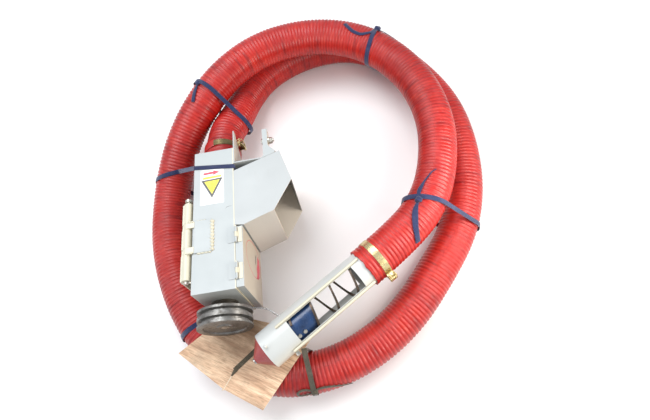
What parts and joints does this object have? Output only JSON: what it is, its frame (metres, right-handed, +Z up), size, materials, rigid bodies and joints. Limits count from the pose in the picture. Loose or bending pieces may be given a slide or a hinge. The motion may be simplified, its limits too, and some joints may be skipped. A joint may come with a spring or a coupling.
{
  "type": "flexible hose grain auger",
  "caption": "Flexible grain auger: a coiled red hose between a sheet-metal drive head with belt pulley and a slotted intake tube with a spiral, tied for transport.",
  "frame": {"origin": "on the floor under the centre of the coil's bounding box", "axes": "+Z up from the floor that the coil lies on, +X across the drive head toward its discharge side, +Y from the head's pulley end toward the far side of the coil"},
  "size_m": [1.533, 1.7689, 0.4147],
  "materials": {
    "head_paint": "satin light grey-white",
    "cream_paint": "satin cream",
    "hose_pvc": "glossy ribbed red PVC",
    "tube_paint": "satin off-white",
    "pulley_iron": "machined grey iron",
    "black_iron": "dark",
    "steel": "turned",
    "bolt_steel": "zinc plated",
    "zinc_yellow": "yellow zinc plated",
    "spiral_steel": "dark oiled steel",
    "hub_blue": "gloss blue",
    "nose_red": "satin dark red",
    "bush_bronze": "oiled bronze",
    "navy_webbing": "woven polyester",
    "olive_webbing": "woven polyester",
    "tie_wire": "galvanised wire",
    "board_wood": "raw plywood"
  },
  "bodies": {
    "frame": {"casing_shell": "head_paint", "discharge_chute": "head_paint", "ear_bracket": "head_paint", "mount_plate": "head_paint", "hose_spigot": "head_paint", "side_frame": "cream_paint", "mount_arms": "cream_paint", "casing_leaves": "cream_paint", "window_rails": "cream_paint", "latch_bracket": "cream_paint", "hose": "hose_pvc", "intake_tube": "tube_paint", "tube_fittings": "tube_paint", "bearing_housing": "black_iron", "bearing_seal": "black_iron", "bearing_outer_race": "steel", "housing_bolts": "bolt_steel", "ear_bolt": "bolt_steel", "ear_washer": "bolt_steel", "ear_nut": "bolt_steel", "door_hinge_pins": "bolt_steel", "latch_pin": "bolt_steel", "mount_hinge_rod": "bolt_steel", "rod_clip": "bolt_steel", "head_clamp_band": "zinc_yellow", "head_clamp_bolt": "zinc_yellow", "head_clamp_nut": "zinc_yellow", "intake_clamp_band": "zinc_yellow", "intake_clamp_bolt": "zinc_yellow", "intake_clamp_nut": "zinc_yellow", "nose_cone": "nose_red", "nose_bush": "bush_bronze", "strap_left_rear": "navy_webbing", "strap_right_rear": "navy_webbing", "strap_right": "navy_webbing", "strap_left_front": "navy_webbing", "strap_head": "navy_webbing", "strap_intake": "olive_webbing", "strap_nose": "olive_webbing", "wire_tie": "tie_wire", "packing_board": "board_wood"},
    "drive": {"drive_shaft": "steel", "shaft_key": "steel", "drive_pulley": "pulley_iron", "pulley_set_screw": "bolt_steel", "bearing_inner_race": "steel", "bearing_balls": "steel", "thrower_paddles": "steel", "head_drum": "hub_blue", "drum_cross_bolts": "bolt_steel", "head_spiral": "spiral_steel"},
    "intake_rotor": {"intake_spiral": "spiral_steel", "spiral_hub": "hub_blue", "hub_bolts": "bolt_steel", "nose_stub": "steel"},
    "door": {"access_door": "head_paint", "door_leaves": "cream_paint"},
    "latch": {"door_latch": "bolt_steel"},
    "rail": {"motor_rail": "cream_paint"}
  },
  "joints": [
    {"name": "drive_spin", "type": "hinge", "parent": "frame", "child": "drive", "pos_m": [-0.388, -0.4945, 0.2717], "axis": [0, 0.9931, -0.1175], "continuous": true},
    {"name": "intake_spiral_spin", "type": "hinge", "parent": "frame", "child": "intake_rotor", "pos_m": [-0.2505, -0.687, 0.24], "axis": [-0.8526, -0.5225, 0], "continuous": true},
    {"name": "door_swing", "type": "hinge", "parent": "frame", "child": "door", "pos_m": [-0.299, -0.35361, 0.39862], "axis": [0, -0.9931, 0.1175], "range_deg": [0, 110]},
    {"name": "latch_turn", "type": "hinge", "parent": "frame", "child": "latch", "pos_m": [-0.322, -0.38753, 0.11202], "axis": [0, 0.9931, -0.1175], "range_deg": [-90, 0]},
    {"name": "motor_rail_swing", "type": "hinge", "parent": "frame", "child": "rail", "pos_m": [-0.492, -0.25672, 0.36641], "axis": [0, 0.9931, -0.1175], "range_deg": [0, 30]}
  ],
  "couplings": [
    {"joint": "intake_spiral_spin", "follows": "drive_spin", "ratio": 1}
  ]
}
